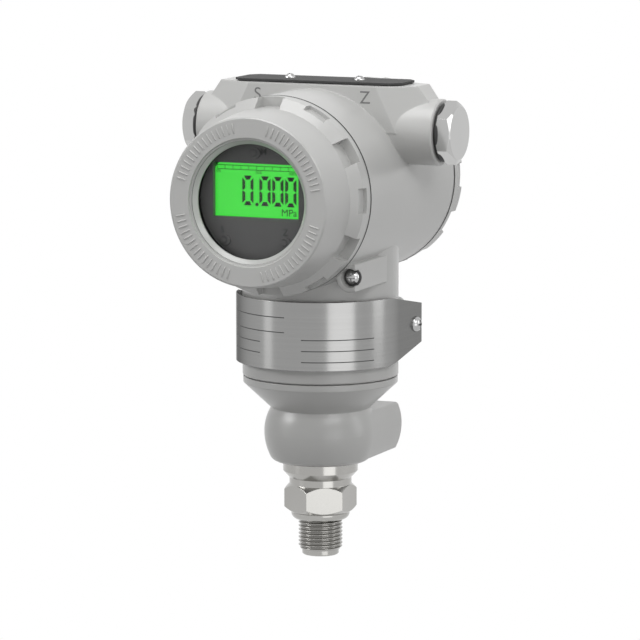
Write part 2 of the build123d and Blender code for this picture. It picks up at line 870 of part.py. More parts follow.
def name_band():
    """Strap bent round the front of the neck, its straight legs tapering to the screws."""
    inner = band_r - band_thickness
    ring = Circle(band_r) - Circle(inner)
    ring &= Pos(0, -band_r) * Rectangle(4 * band_r, 2 * band_r)
    legs = Rectangle(2 * band_r, band_leg_end) - Rectangle(2 * inner, band_leg_end + 2)
    legs = Pos(0, band_leg_end / 2) * legs
    strap = Pos(0, 0, band_low) * extrude(ring + legs, band_height)
    half = band_height / 2
    end_half = band_end_height / 2
    side_view = make_face(
        Polyline(
            (0, -band_r - 1, -half),
            (0, band_taper_start, -half),
            (0, band_leg_end, -end_half),
            (0, band_leg_end, end_half),
            (0, band_taper_start, half),
            (0, -band_r - 1, half),
            close=True,
        )
    )
    envelope = Pos(0, 0, band_mid) * extrude(side_view, 2 * band_r, both=True)
    strap &= envelope
    for side in (-1, 1):
        place = Location((0, band_screw_back, band_mid), (0, side * 90, 0))
        strap -= place * rod(band_screw_hole_r, inner - 1, band_r + 1)
    return strap


def band_screws():
    screws = []
    for side in (-1, 1):
        place = Location((0, band_screw_back, band_mid), (0, side * 90, 0))
        screw = pan_screw(band_screw_r, band_screw_length, band_head_r, band_head_height)
        screws.append(place * Pos(0, 0, band_r) * screw)
    return Compound(children=screws)


def ground_washer():
    floor = ground_front - ground_recess_depth
    place = Location((ground_x, 0, ground_z), (90, 0, 0))
    return place * tube(ground_recess_r - 0.15, ground_screw_r + running, floor + running,
                        floor + running + ground_washer_thickness)


def ground_screw():
    base = ground_front - ground_recess_depth + running + ground_washer_thickness + running
    place = Location((ground_x, 0, ground_z), (90, 0, 0))
    return place * Pos(0, 0, base) * pan_screw(ground_screw_r, ground_thread_length, ground_head_r,
                                               ground_head_height)


def neck_lock_screw():
    """Set screw whose tip runs in the stub's groove."""
    place = Location((0, 0, lock_z), (-90, 0, 0))
    tip_end = stub_r - lock_groove_depth / 2
    shank_start = stub_r + 2 * running
    screw = rod(lock_screw_r, shank_start, neck_r - lock_head_sunk)
    screw += rod(lock_tip_r, tip_end, shank_start)
    key = hexagon_bar(3.0, neck_r - lock_head_sunk - 2.5, neck_r + 1)
    return place * (screw - key)


def push_button(side):
    """Round button under the roof plate, with its stem above the bore's floor."""
    top = block_top - button_sunk
    x = side * button_x
    groove_low = top - button_length + 3.2
    cap = rod(button_r - running, top - button_length, top, x, conduit_back)
    rim = rod(button_r + 1, groove_low, groove_low + 1, x, conduit_back)
    groove = rim - rod(button_r - 0.7, top - button_length, top, x, conduit_back)
    return cap - groove


def roof_outline(inset):
    end_x = plate_half_length - inset
    half = plate_half_width - inset
    end_half = plate_end_half_width - inset / 2
    quarter = [(end_x, end_half), (plate_mid_x, half)]
    points = quarter + [(-x, y) for x, y in reversed(quarter)]
    points += [(-x, -y) for x, y in quarter] + [(x, -y) for x, y in reversed(quarter)]
    return Pos(0, conduit_back, 0) * make_face(Polyline(*points, close=True))


def roof_plate():
    plate = Pos(0, 0, plate_bottom) * extrude(roof_outline(0), plate_thickness)
    for side in (-1, 1):
        plate -= rod(small_screw_r + 0.1, plate_bottom - 1, plate_top + 1,
                     side * plate_screw_x, conduit_back)
    return plate


def roof_gasket():
    sheet = Pos(0, 0, block_top) * extrude(roof_outline(plate_gasket_inset), plate_gasket_thickness)
    for side in (-1, 1):
        sheet -= rod(small_screw_r + 0.1, block_top - 1, plate_top, side * plate_screw_x, conduit_back)
        sheet -= rod(button_r + 1, block_top - 1, plate_top, side * button_x, conduit_back)
    return sheet


def roof_screws():
    screws = []
    length = plate_screw_depth + plate_thickness + plate_gasket_thickness - 1
    for side in (-1, 1):
        screw = pan_screw(plate_screw_hole_r - running, length, small_head_r - 0.4, small_head_height)
        screws.append(Pos(side * plate_screw_x, conduit_back, plate_top) * screw)
    return Compound(children=screws)


def conduit_plug(place):
    """Hexagon plug in a conduit entry, standing on its seal."""
    start = boss_reach + seat_gap
    head_base = start + plug_shank_length
    head_top = head_base + plug_head_length
    corner_r = plug_flats / sqrt(3)
    chamfer_length = corner_r - plug_head_face_r
    head = hexagon_bar(plug_flats, head_base, head_top)
    head &= turned((0, head_base), (corner_r, head_base), (corner_r, head_top - chamfer_length),
                   (plug_head_face_r, head_top), (0, head_top))
    shank = rod(plug_shank_r, start, head_base)
    thread_end = start - plug_thread_length
    thread_edge = conduit_r - running
    thread = turned((0, thread_end), (thread_edge - 1, thread_end), (thread_edge, thread_end + 1),
                    (thread_edge, start), (0, start))
    return place * (head + shank + thread)


def plug_seal(place):
    centre = boss_reach + seat_gap + plug_shank_length / 2
    return place * o_ring(plug_shank_r + running + plug_seal_wire, plug_seal_wire, centre)


def cover_seal(place, mouth):
    return place * o_ring(cover_seal_r, cover_seal_wire, mouth - cover_seal_wire + running)


def neck_seal():
    return o_ring(stub_r - neck_seal_wire, neck_seal_wire - running / 5, base_top + neck_seal_above_base)


parts = {
    "process_fitting": process_fitting(),
    "diaphragm": rod(diaphragm_r, spigot_top, capsule_base),
    "sensor_capsule": rod(capsule_r, capsule_base, capsule_top),
    "sensor_board": sensor_board(),
    "sensor_header": sensor_header(),
    "sensor_body": sensor_body(),
    "potting_disc": potting_disc(),
    "neck_seal": neck_seal(),
    "housing": housing(),
    "neck_lock_screw": neck_lock_screw(),
    "name_band": name_band(),
    "band_screws": band_screws(),
    "ground_washer": ground_washer(),
    "ground_screw": ground_screw(),
    "feedthrough": feedthrough(),
    "electronics_module": electronics_module(),
    "module_screws": module_screws(),
    "display_rear_case": display_rear_case(),
    "display_board": display_board(),
    "lcd_panel": lcd_panel(),
    "display_bezel": display_bezel(),
    "terminal_block": terminal_block(),
    "terminal_clamps": terminal_clamps(),
    "terminal_screws": terminal_screws(),
    "inner_ground_screw": inner_ground_screw(),
    "front_cover": front_cover(),
    "window_gasket": window_gasket(),
    "window_glass": window_glass(),
    "glass_ring": glass_ring(),
    "front_cover_seal": cover_seal(front, front_mouth),
    "rear_cover": rear_cover(),
    "rear_cover_seal": cover_seal(rear, rear_mouth),
    "right_plug": conduit_plug(right),
    "right_plug_seal": plug_seal(right),
    "left_plug": conduit_plug(left),
    "left_plug_seal": plug_seal(left),
    "zero_button": push_button(1),
    "span_button": push_button(-1),
    "roof_plate": roof_plate(),
    "roof_gasket": roof_gasket(),
    "roof_screws": roof_screws(),
}
for key in key_places():
    parts[key] = display_key(key)

os.makedirs("parts", exist_ok=True)
for name, solid in parts.items():
    export_step(solid, "parts/" + name + ".step")
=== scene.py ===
import json
import math
import bmesh
import bpy
import numpy as np
from mathutils import Matrix, Vector

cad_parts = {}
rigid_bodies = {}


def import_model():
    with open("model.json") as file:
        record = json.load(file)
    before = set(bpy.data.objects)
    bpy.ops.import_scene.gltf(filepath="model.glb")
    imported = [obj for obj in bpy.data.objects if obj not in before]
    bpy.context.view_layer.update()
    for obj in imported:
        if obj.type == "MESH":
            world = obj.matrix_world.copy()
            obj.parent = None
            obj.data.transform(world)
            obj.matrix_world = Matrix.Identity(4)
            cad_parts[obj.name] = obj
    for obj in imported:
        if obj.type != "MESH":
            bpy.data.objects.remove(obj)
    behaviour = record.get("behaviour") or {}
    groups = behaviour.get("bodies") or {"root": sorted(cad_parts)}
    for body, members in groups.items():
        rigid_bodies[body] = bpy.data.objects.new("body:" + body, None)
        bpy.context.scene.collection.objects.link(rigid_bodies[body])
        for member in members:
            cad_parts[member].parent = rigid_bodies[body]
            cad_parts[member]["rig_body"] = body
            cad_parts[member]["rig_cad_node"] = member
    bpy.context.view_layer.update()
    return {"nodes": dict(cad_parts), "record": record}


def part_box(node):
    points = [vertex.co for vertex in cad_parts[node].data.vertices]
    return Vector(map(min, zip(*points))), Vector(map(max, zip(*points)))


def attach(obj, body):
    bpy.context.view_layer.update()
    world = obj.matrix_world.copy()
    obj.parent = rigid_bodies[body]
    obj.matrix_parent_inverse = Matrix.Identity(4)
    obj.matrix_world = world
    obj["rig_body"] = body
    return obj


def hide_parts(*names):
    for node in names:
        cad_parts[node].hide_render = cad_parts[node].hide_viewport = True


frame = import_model()
nodes = frame["nodes"]
print("stage: frame loaded,", len(nodes), "nodes")

mm = 0.001  # shapes below are written in millimetres
fullTurn = 2 * np.pi
# what several pieces share: the height of the covers' axis and the set-back face of the window ring
shared = {"axisHeight": 159.6, "ringFace": -84.15}

# the camera stands at the photograph's viewing angle
cameraView = {"azimuth": 23.156, "elevation": 8.08, "distance": 2034.0, "aimHeight": 95.08,
              "lens": 241.9, "sensor": 36, "shiftX": -0.0008, "clipEnd": 20}


def compass(azimuth, elevation):
    # azimuth 0 is straight in front of the display, 90 is towards +X
    a, e = math.radians(azimuth), math.radians(elevation)
    return Vector((math.sin(a) * math.cos(e), -math.cos(a) * math.cos(e), math.sin(e)))


def addObject(name, data):
    item = bpy.data.objects.new(name, data)
    bpy.context.scene.collection.objects.link(item)
    return item


def addCamera(view):
    away = compass(view["azimuth"], view["elevation"])
    data = bpy.data.cameras.new("photoCamera")
    data.sensor_width = view["sensor"]
    data.lens = view["lens"]
    data.shift_x = view["shiftX"]
    data.clip_end = view["clipEnd"]
    camera = addObject("photoCamera", data)
    camera.location = Vector((0, 0, view["aimHeight"])) * mm + away * view["distance"] * mm
    camera.rotation_euler = (-away).to_track_quat("-Z", "Y").to_euler()
    bpy.context.scene.camera = camera


addCamera(cameraView)
print("stage: camera")


# small effects shared by the finishes, each a group with named sockets
def newGroup(name, inputs, outputs):
    group = bpy.data.node_groups.new(name, "ShaderNodeTree")
    for label, kind, value in inputs:
        socket = group.interface.new_socket(label, in_out="INPUT", socket_type=kind)
        if value is not None:
            socket.default_value = value
    for label, kind in outputs:
        group.interface.new_socket(label, in_out="OUTPUT", socket_type=kind)
    return group, group.nodes.new("NodeGroupInput"), group.nodes.new("NodeGroupOutput")


def feed(tree, socket, value):
    # a number is set on the socket, an output is linked to it
    if isinstance(value, (int, float)):
        socket.default_value = value
    else:
        tree.links.new(value, socket)


def mathNode(tree, operation, first, second):
    node = tree.nodes.new("ShaderNodeMath")
    node.operation = operation
    feed(tree, node.inputs[0], first)
    feed(tree, node.inputs[1], second)
    return node.outputs[0]


def noiseNode(tree, vector, scale, detail, roughness=0.5):
    node = tree.nodes.new("ShaderNodeTexNoise")
    values = {"Vector": vector, "Scale": scale, "Detail": detail, "Roughness": roughness}
    for label, value in values.items():
        feed(tree, node.inputs[label], value)
    return node.outputs["Fac"]


def mixColours(tree, mask, low, high):
    # low where the mask is 0, high where it is 1
    node = tree.nodes.new("ShaderNodeMix")
    node.data_type = "RGBA"
    factor, first, second = (node.inputs[index] for index in (0, 6, 7))  # 6 and 7 are the colour sockets
    first.default_value = (*low, 1)
    second.default_value = (*high, 1)
    tree.links.new(mask, factor)
    return node.outputs[2]


grain = {"peel": 900.0, "peelDetail": 3.0, "cloud": 26.0, "cloudDetail": 2.0}


def makeGrainGroup():
    # fine orange peel for height, slow clouds for shade
    group, entry, leave = newGroup(
        "paintGrain",
        [("Vector", "NodeSocketVector", None), ("Peel Scale", "NodeSocketFloat", grain["peel"]),
         ("Cloud Scale", "NodeSocketFloat", grain["cloud"])],
        [("Height", "NodeSocketFloat"), ("Shade", "NodeSocketFloat")])
    vector = entry.outputs["Vector"]
    peel = noiseNode(group, vector, entry.outputs["Peel Scale"], grain["peelDetail"])
    cloud = noiseNode(group, vector, entry.outputs["Cloud Scale"], grain["cloudDetail"])
    group.links.new(peel, leave.inputs["Height"])
    group.links.new(cloud, leave.inputs["Shade"])
    return group


brush = {"stretch": (40.0, 40.0, 5000.0), "fineScale": 1.0, "fineDetail": 4.0, "fineRoughness": 0.65,
         "fineShare": 0.6, "slowScale": 0.15, "slowDetail": 1.0, "slowShare": 0.4}


def makeBrushGroup():
    # long hair lines: noise squeezed along one axis
    group, entry, leave = newGroup(
        "brushLines",
        [("Vector", "NodeSocketVector", None), ("Stretch", "NodeSocketVector", brush["stretch"])],
        [("Height", "NodeSocketFloat"), ("Shade", "NodeSocketFloat")])
    squeeze = group.nodes.new("ShaderNodeVectorMath")
    squeeze.operation = "MULTIPLY"
    group.links.new(entry.outputs["Vector"], squeeze.inputs[0])
    group.links.new(entry.outputs["Stretch"], squeeze.inputs[1])
    fine = noiseNode(group, squeeze.outputs[0], brush["fineScale"], brush["fineDetail"],
                     brush["fineRoughness"])
    slow = noiseNode(group, squeeze.outputs[0], brush["slowScale"], brush["slowDetail"])
    total = mathNode(group, "ADD", mathNode(group, "MULTIPLY", fine, brush["fineShare"]),
                     mathNode(group, "MULTIPLY", slow, brush["slowShare"]))
    group.links.new(fine, leave.inputs["Height"])
    group.links.new(total, leave.inputs["Shade"])
    return group


softEdge = {"radius": 0.0005, "samples": 6}


def makeEdgeGroup():
    # rounds the look of sharp edges and of inside corners, as a cast or turned piece has them
    group, entry, leave = newGroup(
        "softEdge", [("Radius", "NodeSocketFloat", softEdge["radius"])],
        [("Normal", "NodeSocketVector")])
    bevel = group.nodes.new("ShaderNodeBevel")
    bevel.samples = softEdge["samples"]
    group.links.new(entry.outputs["Radius"], bevel.inputs["Radius"])
    group.links.new(bevel.outputs["Normal"], leave.inputs["Normal"])
    return group


def makeRangeGroup():
    # turns a 0 to 1 mask into a value between two limits
    group, entry, leave = newGroup(
        "maskRange",
        [("Mask", "NodeSocketFloat", 0.5), ("Low", "NodeSocketFloat", 0.0),
         ("High", "NodeSocketFloat", 1.0)],
        [("Value", "NodeSocketFloat")])
    spread = mathNode(group, "SUBTRACT", entry.outputs["High"], entry.outputs["Low"])
    scaled = mathNode(group, "MULTIPLY", entry.outputs["Mask"], spread)
    group.links.new(mathNode(group, "ADD", scaled, entry.outputs["Low"]), leave.inputs["Value"])
    return group


grainGroup, brushGroup = makeGrainGroup(), makeBrushGroup()
edgeGroup, rangeGroup = makeEdgeGroup(), makeRangeGroup()
print("stage: shader groups")


def grey(level):
    return (level, level, level)


def placeGroup(tree, group, values):
    node = tree.nodes.new("ShaderNodeGroup")
    node.node_tree = group
    for label, value in values.items():
        node.inputs[label].default_value = value
    return node


# what a finish has where its look says nothing else; edge is in mm, depth in metres
plainLook = {"stretch": None, "peel": grain["peel"], "bump": 0.1, "depth": 0.00005, "edge": 0,
             "metal": 0.0, "specular": 0.5, "rim": 1.0, "clear": 0.0, "alpha": 1.0, "glow": None}


def finish(name, look):
    # one finish: colour between two shades, roughness between two values, a bump and a soft edge
    look = {**plainLook, **look}
    material = bpy.data.materials.new(name)
    material.use_nodes = True
    tree = material.node_tree
    surface = tree.nodes["Principled BSDF"].inputs
    if look["stretch"]:
        pattern = placeGroup(tree, brushGroup, {"Stretch": look["stretch"]})
    else:
        pattern = placeGroup(tree, grainGroup, {"Peel Scale": look["peel"]})
    coordinates = tree.nodes.new("ShaderNodeTexCoord").outputs["Object"]
    tree.links.new(coordinates, pattern.inputs["Vector"])
    shade = pattern.outputs["Shade"]
    tree.links.new(mixColours(tree, shade, look["dark"], look["light"]), surface["Base Color"])
    rough = placeGroup(tree, rangeGroup, {"Low": look["rough"][0], "High": look["rough"][1]})
    tree.links.new(shade, rough.inputs["Mask"])
    tree.links.new(rough.outputs["Value"], surface["Roughness"])
    bump = tree.nodes.new("ShaderNodeBump")
    bump.inputs["Strength"].default_value = look["bump"]
    bump.inputs["Distance"].default_value = look["depth"]
    tree.links.new(pattern.outputs["Height"], bump.inputs["Height"])
    if look["edge"]:
        edge = placeGroup(tree, edgeGroup, {"Radius": look["edge"] * mm})
        tree.links.new(edge.outputs["Normal"], bump.inputs["Normal"])
    tree.links.new(bump.outputs["Normal"], surface["Normal"])
    surface["Metallic"].default_value = look["metal"]
    surface["Specular IOR Level"].default_value = look["specular"]
    surface["Specular Tint"].default_value = (*grey(look["rim"]), 1)
    surface["Transmission Weight"].default_value = look["clear"]
    surface["Alpha"].default_value = look["alpha"]
    if look["glow"]:
        surface["Emission Color"].default_value = (*look["glow"], 1)
        surface["Emission Strength"].default_value = 1.0
    return material


looks = {
    "greyPaint": {"dark": (0.49, 0.49, 0.48), "light": (0.55, 0.55, 0.54), "rough": (0.27, 0.36),
                  "depth": 0.00006, "edge": 1.0, "peel": 700.0, "specular": 0.65},
    "coverPaint": {"dark": (0.49, 0.49, 0.48), "light": (0.55, 0.55, 0.54), "rough": (0.27, 0.36),
                   "depth": 0.00006, "edge": 0.35, "peel": 700.0, "specular": 0.65},
    "bandSteel": {"dark": (0.26, 0.26, 0.257), "light": (0.32, 0.32, 0.316), "rough": (0.16, 0.24),
                  "metal": 1.0, "stretch": (30.0, 30.0, 5000.0), "bump": 0.03, "depth": 0.00002,
                  "edge": 0.15, "rim": 0.35},
    "turnedSteel": {"dark": (0.345, 0.34, 0.325), "light": (0.425, 0.42, 0.405), "rough": (0.14, 0.20),
                    "metal": 1.0, "bump": 0.006, "depth": 0.00002, "edge": 0.3, "peel": 400.0},
    "threadSteel": {"dark": (0.31, 0.305, 0.293), "light": (0.35, 0.345, 0.331), "rough": (0.12, 0.15),
                    "metal": 1.0, "bump": 0.0},
    "brightNickel": {"dark": (0.44, 0.44, 0.435), "light": (0.50, 0.50, 0.495), "rough": (0.07, 0.12),
                     "metal": 1.0, "bump": 0.02, "depth": 0.00002, "edge": 0.12},
    # dark grey of the painted shade bands in the window mouth, also the ground washer's colour
    "mouthShade": {"dark": grey(0.06), "light": grey(0.09), "rough": (0.5, 0.6), "bump": 0.05},
    "screwSteel": {"dark": grey(0.34), "light": grey(0.5), "rough": (0.12, 0.22), "metal": 1.0,
                   "bump": 0.04, "depth": 0.00002, "edge": 0.15},
    # dark rubber of the real seals, also worn by the seam lips as painted seam shadow
    "sealRubber": {"dark": grey(0.012), "light": grey(0.022), "rough": (0.5, 0.7)},
    "displayPlastic": {"dark": grey(0.085), "light": grey(0.105), "rough": (0.45, 0.6), "edge": 0.25,
                       "specular": 0.35},
    "keyPlastic": {"dark": grey(0.085), "light": grey(0.1), "rough": (0.4, 0.55), "edge": 0.3,
                   "specular": 0.35},
    # painted light: the liquid crystal glows green by its own emission, standing in for the light that
    # reaches it through the window
    "lcdGreenGlow": {"dark": (0.012, 0.10, 0.012), "light": (0.014, 0.12, 0.014), "rough": (0.3, 0.35),
                 "bump": 0.02, "glow": (0.038, 0.60, 0.038)},
    "lcdInk": {"dark": (0.060, 0.040, 0.060), "light": (0.070, 0.046, 0.070), "rough": (0.8, 0.9),
               "bump": 0.02, "specular": 0.05},
    # dark grey of the printed key letters and of the painted rim shadows on the key caps
    "keyPrintAndShadow": {"dark": grey(0.032), "light": grey(0.04), "rough": (0.6, 0.7), "bump": 0.05},
    "engravedShade": {"dark": grey(0.16), "light": grey(0.2), "rough": (0.6, 0.7), "bump": 0.05},
    "bandInk": {"dark": grey(0.05), "light": grey(0.07), "rough": (0.5, 0.6), "bump": 0.05},
    "circuitGreen": {"dark": (0.01, 0.09, 0.03), "light": (0.02, 0.14, 0.05), "rough": (0.3, 0.45),
                     "peel": 300.0},
    "castResin": {"dark": (0.02, 0.02, 0.022), "light": (0.035, 0.035, 0.04), "rough": (0.2, 0.35)},
    "terminalPlastic": {"dark": (0.03, 0.03, 0.032), "light": (0.05, 0.05, 0.052), "rough": (0.4, 0.55),
                        "edge": 0.2},
    "roofSheet": {"dark": grey(0.035), "light": grey(0.075), "rough": (0.6, 0.8), "bump": 0.6,
                  "depth": 0.0002, "peel": 1500.0, "specular": 0.25},
    "blackAnodised": {"dark": grey(0.02), "light": grey(0.035), "rough": (0.35, 0.45), "bump": 0.05,
                      "metal": 0.6},
    "windowGlass": {"dark": (0.95, 0.97, 0.96), "light": (0.97, 0.98, 0.97), "rough": (0.0, 0.02),
                    "bump": 0.0, "clear": 1.0, "alpha": 0.05, "specular": 0.2},
}
finishes = {name: finish(name, look) for name, look in looks.items()}

slotFinish = {
    "paint": "greyPaint", "stainless": "turnedSteel", "nickel": "brightNickel",
    "screw_steel": "screwSteel", "seal_rubber": "sealRubber", "window": "windowGlass",
    "black_aluminium": "blackAnodised", "display_black": "displayPlastic", "lcd_green": "lcdGreenGlow",
    "circuit": "circuitGreen", "potting": "castResin", "terminal_plastic": "terminalPlastic",
    "roof_dark": "roofSheet", "button_plastic": "terminalPlastic",
}
# nodes that look different from their slot
nodeFinish = {"name_band": "bandSteel", "front_cover": "coverPaint", "rear_cover": "coverPaint",
              "ground_washer": "mouthShade", "mode_key": "keyPlastic", "span_key": "keyPlastic",
              "zero_key": "keyPlastic"}


def dressNodes():
    for entry in frame["record"]["subparts"]:
        name = nodeFinish.get(entry["node"], slotFinish[entry["material_slot"]])
        materials = nodes[entry["node"]].data.materials
        materials.clear()
        materials.append(finishes[name])


dressNodes()
print("stage: finishes")


def shadeSmooth(mesh, sharp):
    # smooth faces, with a hard edge where two of them turn by more than sharp degrees
    mesh.polygons.foreach_set("use_smooth", np.ones(len(mesh.polygons), bool))
    mesh.set_sharp_from_angle(angle=math.radians(sharp))


def placePiece(name, mesh, finishName, body):
    # a new object at the origin, which rides its body and wears one finish
    mesh.materials.clear()
    mesh.materials.append(finishes[finishName])
    piece = addObject(name, mesh)
    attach(piece, body)
    return piece


def addPiece(name, points, faces, finishName, body, sharp=None):
    mesh = bpy.data.meshes.new(name)
    mesh.from_pydata((np.asarray(points, float) * mm).tolist(), [], faces)
    mesh.update()
    if sharp is not None:
        shadeSmooth(mesh, sharp)
    return placePiece(name, mesh, finishName, body)


def gridFaces(rows, columns, wrap, wrapRows=False):
    # quads of a rows by columns grid, closed along the columns, and along the rows, when asked
    r, c = np.meshgrid(np.arange(rows if wrapRows else rows - 1),
                       np.arange(columns if wrap else columns - 1), indexing="ij")
    below, right = (r + 1) % rows, (c + 1) % columns
    return np.stack([r * columns + c, r * columns + right, below * columns + right, below * columns + c],
                    axis=-1).reshape(-1, 4).tolist()


def editMesh(mesh, change):
    # opens the mesh, lets change work on it and writes it back
    shell = bmesh.new()
    shell.from_mesh(mesh)
    change(shell)
    shell.to_mesh(mesh)
    shell.free()


def turnOutward(shell):
    bmesh.ops.recalc_face_normals(shell, faces=shell.faces)


weld = 1e-6  # metres within which corners are one


def mergeCorners(shell, reach=weld):
    bmesh.ops.remove_doubles(shell, verts=shell.verts, dist=reach)


def readCorners(mesh):
    # the mesh's corners as an array in mm
    corners = np.zeros(len(mesh.vertices) * 3, np.float32)
    mesh.vertices.foreach_get("co", corners)
    return corners.reshape(-1, 3) / mm


def copyNode(node, name, reshape, body):
    # a merged copy of a CAD node with its corners moved by reshape, which takes and gives an array in
    # mm; the copy keeps the CAD's own corner normals
    piece = nodes[node].copy()
    piece.data = mesh = piece.data.copy()
    normals = np.zeros(len(mesh.loops) * 3, np.float32)
    mesh.corner_normals.foreach_get("vector", normals)
    piece.name = mesh.name = name
    piece.parent = None
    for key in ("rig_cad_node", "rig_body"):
        if key in piece:
            del piece[key]
    piece.matrix_world = Matrix.Identity(4)
    bpy.context.scene.collection.objects.link(piece)
    editMesh(mesh, mergeCorners)
    corners = reshape(readCorners(mesh)) * mm
    mesh.vertices.foreach_set("co", corners.astype(np.float32).ravel())
    mesh.update()
    mesh.polygons.foreach_set("use_smooth", np.ones(len(mesh.polygons), bool))
    mesh.normals_split_custom_set(normals.reshape(-1, 3).tolist())
    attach(piece, body)
    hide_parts(node)


def frontOf(node):
    # how far forward a node reaches, in mm along Y
    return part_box(node)[0].y / mm


def middleOf(node):
    # the middle of a node's box in mm
    low, high = (np.array(corner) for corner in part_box(node))
    return (low + high) / 2 / mm


# the pipe thread's crests and roots, cut round the fitting's plain nose; flat is the share of the pitch
# at each root, swell the tooth's rounded share, runOut the slope under the collar
pipeThread = {"crest": 10.4775, "root": 9.32, "pitch": 1.8143, "low": -14.5, "high": 0.02, "bevel": 1.3,
              "flat": 0.10, "swell": 0.45, "runOut": 2, "coreRadius": 9.1, "slack": 0.02, "around": 144,
              "rowsPerTurn": 20, "weld": 2e-6, "sharp": 50}


def threadPoints(t):
    # rows follow the helix: z = low + pitch * (u + turn), with turn from 0 to 1 along the row; the
    # radius is root + depth * tooth(u), faded to the root in the nose's chamfer and under the collar
    turns = math.ceil((t["high"] - t["low"]) / t["pitch"])
    rows = (turns + 1) * t["rowsPerTurn"] + 1
    u, turn = np.meshgrid(np.arange(rows) / t["rowsPerTurn"] - 1,
                          np.arange(t["around"] + 1) / t["around"], indexing="ij")
    z = np.clip(t["low"] + t["pitch"] * (u + turn), t["low"], t["high"])
    tooth = np.clip((1 - np.abs(2 * (u % 1.0) - 1) - t["flat"]) / (1 - 2 * t["flat"]), 0, 1)
    tooth = tooth * tooth * (3 - 2 * tooth) * t["swell"] + tooth * (1 - t["swell"])
    radius = t["root"] + (t["crest"] - t["root"]) * tooth
    nose, collar = t["crest"] - t["bevel"] + (z - t["low"]), t["root"] + t["runOut"] * (t["high"] - z)
    radius = np.minimum(radius, np.maximum(np.minimum(nose, collar), t["root"]))
    angle = turn * fullTurn
    points = np.stack([radius * np.cos(angle), radius * np.sin(angle), z], axis=-1)
    return points.reshape(-1, 3), rows


def closeThread(shell):
    # joins each row's end to the next turn's start, drops what has no area, and closes both ends
    mergeCorners(shell, pipeThread["weld"])
    bmesh.ops.dissolve_degenerate(shell, edges=shell.edges, dist=weld)
    bmesh.ops.holes_fill(shell, edges=[edge for edge in shell.edges if edge.is_boundary], sides=0)
    turnOutward(shell)
    print("thread open edges:", sum(edge.is_boundary for edge in shell.edges))


def thinNose(corners):
    # inside the thread the fitting's radius comes down to coreRadius
    t = pipeThread
    radius, z = np.hypot(corners[:, 0], corners[:, 1]), corners[:, 2]
    inThread = (z > t["low"] - t["slack"]) & (z < t["slack"]) & (radius > t["coreRadius"])
    scale = np.divide(t["coreRadius"], radius, out=np.ones_like(radius), where=inThread)
    corners[:, :2] *= scale[:, None]
    return corners


def makeThread():
    side, rows = threadPoints(pipeThread)
    thread = addPiece("pressureThread", side, gridFaces(rows, pipeThread["around"] + 1, False),
                      "threadSteel", "sensor")
    editMesh(thread.data, closeThread)
    shadeSmooth(thread.data, pipeThread["sharp"])
    copyNode("process_fitting", "fittingCore", thinNose, "sensor")


makeThread()
print("stage: pressure thread")

# conduit plugs: a hexagon chamfered at both ends, over a copy of the plug with a smaller head; each
# chamfer is a fine run of rows, the rest of the head is one row of faces
plugHead = {"flats": 26.0, "length": 7.2, "faceRadius": 12.3, "backRadius": 13.3, "chamfer": 30,
            "faceRun": 1.7, "faceRows": 28, "backRun": 1.0, "backRows": 16, "around": 360, "sharp": 12,
            "shankRadius": 11.9, "coreRadius": 11.5, "inset": 0.4}


def plugHeadPoints(p, end, y, z, side):
    # radius = the smaller of the hexagon's, half flats / cos(angle from the nearest flat's middle), and
    # the two chamfer cones', which grow by 1 / tan(chamfer) with the distance from their end of the head
    slope = 1 / math.tan(math.radians(p["chamfer"]))
    back = p["length"] - np.linspace(0, p["backRun"], p["backRows"])
    front = np.linspace(p["faceRun"], 0, p["faceRows"])
    depth, turn = np.meshgrid(np.concatenate([back, front]), np.arange(p["around"]) / p["around"] * 360,
                              indexing="ij")
    hexagon = p["flats"] / 2 / np.cos(np.radians((turn + 30) % 60 - 30))
    cones = np.minimum(p["faceRadius"] + depth * slope, p["backRadius"] + (p["length"] - depth) * slope)
    radius = np.minimum(hexagon, cones)
    points = np.stack([side * (end - depth), y - radius * np.cos(np.radians(turn)),
                       z + radius * np.sin(np.radians(turn))], axis=-1).reshape(-1, 3)
    centres = [[side * (end - p["length"]), y, z], [side * end, y, z]]
    return np.vstack([points, centres]), len(depth)


def makePlugHead(name, side):
    p = plugHead
    low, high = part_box(name)
    end = max(high.x, -low.x) / mm
    middle = middleOf(name)[1:]
    points, rows = plugHeadPoints(p, end, *middle, side)
    faces = gridFaces(rows, p["around"], True)
    ring, last = np.arange(p["around"]), (rows - 1) * p["around"]
    for start, centre in ((0, len(points) - 2), (last, len(points) - 1)):
        fan = [start + np.roll(ring, -1), start + ring, np.full_like(ring, centre)]
        faces += np.stack(fan, axis=-1).tolist()
    head = addPiece(name + "Head", points, faces, "brightNickel", name)
    editMesh(head.data, turnOutward)
    shadeSmooth(head.data, p["sharp"])

    def shrinkHead(corners):
        # outside shankRadius the radius comes down to coreRadius, and the face moves in by inset
        radius = np.hypot(corners[:, 1] - middle[0], corners[:, 2] - middle[1])
        scale = np.divide(p["coreRadius"], radius, out=np.ones_like(radius),
                          where=radius > p["shankRadius"])
        corners[:, 1:] = middle + (corners[:, 1:] - middle) * scale[:, None]
        corners[:, 0] = np.clip(corners[:, 0], p["inset"] - end, end - p["inset"])
        return corners

    copyNode(name, name + "Core", shrinkHead, name)


for name, side in (("right_plug", 1), ("left_plug", -1)):
    makePlugHead(name, side)
print("stage: conduit plugs")

